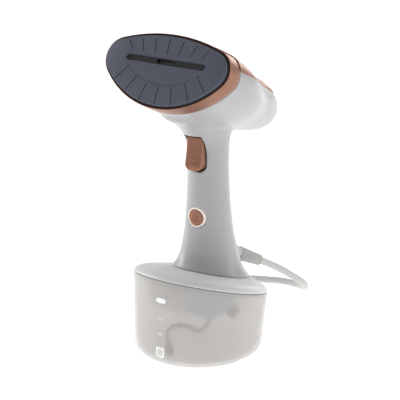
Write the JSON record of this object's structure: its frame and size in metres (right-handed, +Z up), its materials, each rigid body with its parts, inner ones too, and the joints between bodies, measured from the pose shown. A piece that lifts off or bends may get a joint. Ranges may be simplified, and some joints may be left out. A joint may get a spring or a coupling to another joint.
{
  "type": "handheld garment steamer",
  "caption": "Handheld garment steamer with a slotted leaf-shaped soleplate, a slim grip with trigger and power button, and a round translucent water tank as its base.",
  "frame": {"origin": "centre of the tank's round foot, on the surface it stands on", "axes": "+Z up, -Y the way the soleplate faces, +X the user's right seen from the front"},
  "size_m": [0.1766, 0.2355, 0.2845],
  "materials": {
    "shell_white": "gloss white ABS",
    "frosted": "frosted off-white plastic",
    "tank_clear": "smoked translucent plastic",
    "rose_gold": "satin rose gold",
    "plate_coating": "satin ceramic coating",
    "rubber": "matt",
    "cup_grey": "satin",
    "nylon": "natural nylon",
    "copper": "enamelled winding wire",
    "steel": "bright",
    "cast_aluminium": "as cast",
    "silicone": "translucent silicone",
    "black_plastic": "satin",
    "switch_red": "satin",
    "light_ring": "opal",
    "circuit_board": "solder mask",
    "cord_grey": "soft grey PVC"
  },
  "bodies": {
    "tank": {"tank": "tank_clear", "fill_plug": "rubber", "power_cord": "cord_grey", "cord_coil": "cord_grey", "plug_body": "cord_grey", "plug_pins": "steel"},
    "handle": {"tank_seal": "rubber", "tank_collar": "frosted", "release_spring": "steel", "air_valve": "rubber", "pump_cup": "cup_grey", "pump_body": "nylon", "pump_coil": "copper", "pump_spring": "steel", "suction_hose": "silicone", "suction_filter": "cast_aluminium", "outlet_hose": "silicone", "left_shell": "shell_white", "right_shell": "shell_white", "shell_screws": "steel", "top_trim": "rose_gold", "trigger_pin": "steel", "trigger_spring": "steel", "micro_switch": "black_plastic", "switch_bracket": "nylon", "power_light_ring": "light_ring", "button_spring": "steel", "control_board": "circuit_board", "tact_switch": "black_plastic", "steam_plate": "plate_coating", "slot_insert": "black_plastic", "plate_gasket": "rubber", "trim_ring": "rose_gold", "heater_block": "cast_aluminium", "heater_cover": "cast_aluminium", "heating_element": "steel", "chamber_screws": "steel", "thermostat": "black_plastic", "thermal_fuse": "copper", "heat_shield": "steel", "cord_clamp": "nylon", "clamp_screws": "steel", "strain_relief": "cord_grey"},
    "trigger": {"trigger": "rose_gold"},
    "button": {"power_button": "rose_gold"},
    "plunger": {"switch_plunger": "switch_red"},
    "latch": {"tank_release": "frosted"},
    "piston": {"pump_plunger": "steel"}
  },
  "joints": [
    {"name": "handle_lift", "type": "slide", "parent": "tank", "child": "handle", "axis": [0, 0, 1], "range_m": [0, 0.09]},
    {"name": "trigger_pull", "type": "hinge", "parent": "handle", "child": "trigger", "pos_m": [0, 0.004, 0.19], "axis": [1, 0, 0], "range_deg": [0, 6], "stiffness_Nm_per_rad": 0.4, "springref_deg": -2.86, "deforming": ["trigger_spring"]},
    {"name": "switch_travel", "type": "slide", "parent": "handle", "child": "plunger", "axis": [0, 1, 0], "range_m": [0, 0.0014]},
    {"name": "power_press", "type": "slide", "parent": "handle", "child": "button", "axis": [0, 1, 0], "range_m": [0, 0.001], "stiffness_N_per_m": 600, "springref_m": -0.001, "deforming": ["button_spring"]},
    {"name": "release_press", "type": "slide", "parent": "handle", "child": "latch", "axis": [0, -0.956, 0.2932], "range_m": [0, 0.0025], "stiffness_N_per_m": 400, "springref_m": -0.001, "deforming": ["release_spring"]},
    {"name": "pump_stroke", "type": "slide", "parent": "handle", "child": "piston", "axis": [0, 0, 1], "range_m": [0, 0.003], "stiffness_N_per_m": 300, "springref_m": -0.001, "deforming": ["pump_spring"]}
  ],
  "couplings": [
    {"joint": "switch_travel", "follows": "trigger_pull", "m_per_rad": 0.012}
  ]
}
